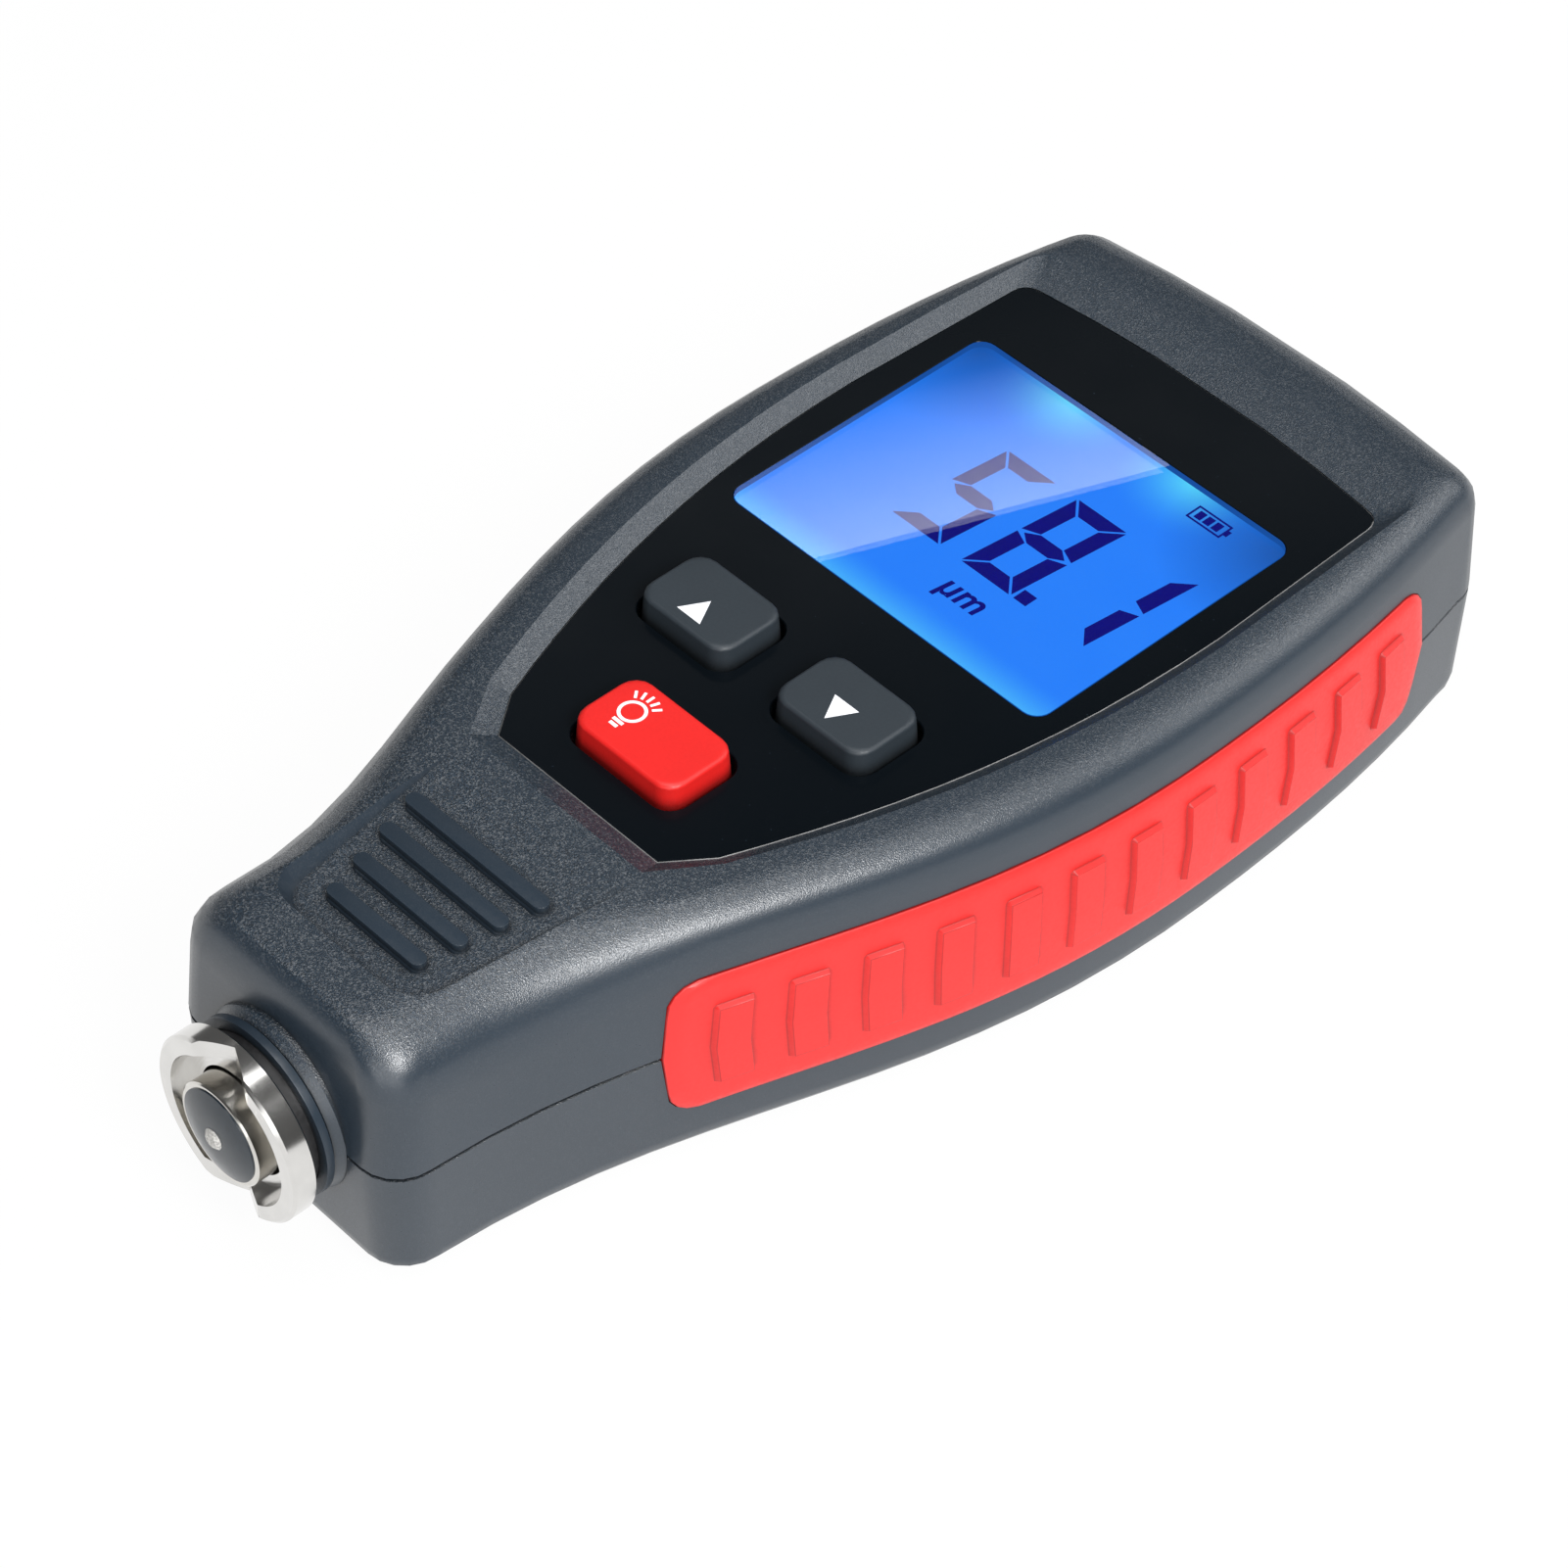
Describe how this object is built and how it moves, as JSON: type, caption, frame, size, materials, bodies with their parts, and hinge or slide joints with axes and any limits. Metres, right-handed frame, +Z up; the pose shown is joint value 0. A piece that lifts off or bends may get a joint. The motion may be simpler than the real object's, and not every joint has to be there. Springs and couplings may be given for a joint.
{
  "type": "coating thickness gauge",
  "caption": "Hand-held coating thickness gauge: tapered two-part housing with side grips, backlit display under a black panel, rubber keys and a sprung probe in a notched guard ring.",
  "frame": {"origin": "centre of the footprint on the flat back", "axes": "+Z up from the back to the display, -Y towards the probe, +X to the right of a person reading the display"},
  "size_m": [0.0602, 0.1258, 0.0272],
  "materials": {
    "housing": "fine spark-eroded texture",
    "grip": "satin soft-touch",
    "red_key": "matt",
    "grey_key": "matt",
    "panel": "gloss",
    "lens": "clear",
    "lcd": "backlit",
    "light_guide": "satin",
    "connector": "matt",
    "board": "satin",
    "black_plastic": "satin",
    "cell": "satin",
    "nickel": "bright",
    "screw": "satin",
    "chrome": "polished",
    "probe_face": "satin",
    "tip": "fine ground",
    "bobbin": "matt",
    "winding": "enamelled copper"
  },
  "bodies": {
    "case": {"front_housing": "housing", "rear_housing": "housing", "grip_left": "grip", "grip_right": "grip", "display_panel": "panel", "display_lens": "lens", "lcd_glass": "lcd", "lcd_backlight": "light_guide", "lcd_frame": "light_guide", "lcd_connector": "connector", "main_board": "board", "key_switches": "black_plastic", "processor_chip": "black_plastic", "battery_cell_left": "cell", "battery_cell_right": "cell", "battery_springs": "nickel", "battery_plates": "nickel", "housing_screws": "screw", "board_screws": "screw", "probe_guard_ring": "chrome", "probe_bush": "black_plastic", "probe_end_cap": "black_plastic", "probe_spring": "nickel"},
    "up_key": {"key_up": "grey_key"},
    "down_key": {"key_down": "grey_key"},
    "cal_key": {"key_cal": "red_key"},
    "probe": {"probe_sleeve": "nickel", "probe_face": "probe_face", "probe_tip": "tip", "probe_bobbin": "bobbin", "probe_coil": "winding"},
    "door": {"battery_door": "housing"}
  },
  "joints": [
    {"name": "up_press", "type": "slide", "parent": "case", "child": "up_key", "axis": [0, 0, -1], "range_m": [0, 0.001], "stiffness_N_per_m": 600, "springref_m": -0.001},
    {"name": "down_press", "type": "slide", "parent": "case", "child": "down_key", "axis": [0, 0, -1], "range_m": [0, 0.001], "stiffness_N_per_m": 600, "springref_m": -0.001},
    {"name": "cal_press", "type": "slide", "parent": "case", "child": "cal_key", "axis": [0, 0, -1], "range_m": [0, 0.001], "stiffness_N_per_m": 600, "springref_m": -0.001},
    {"name": "probe_press", "type": "slide", "parent": "case", "child": "probe", "axis": [0, 1, 0], "range_m": [0, 0.0025], "stiffness_N_per_m": 800, "springref_m": -0.001, "deforming": ["probe_spring"]},
    {"name": "door_slide", "type": "slide", "parent": "case", "child": "door", "axis": [0, 1, 0], "range_m": [0, 0.066]}
  ]
}
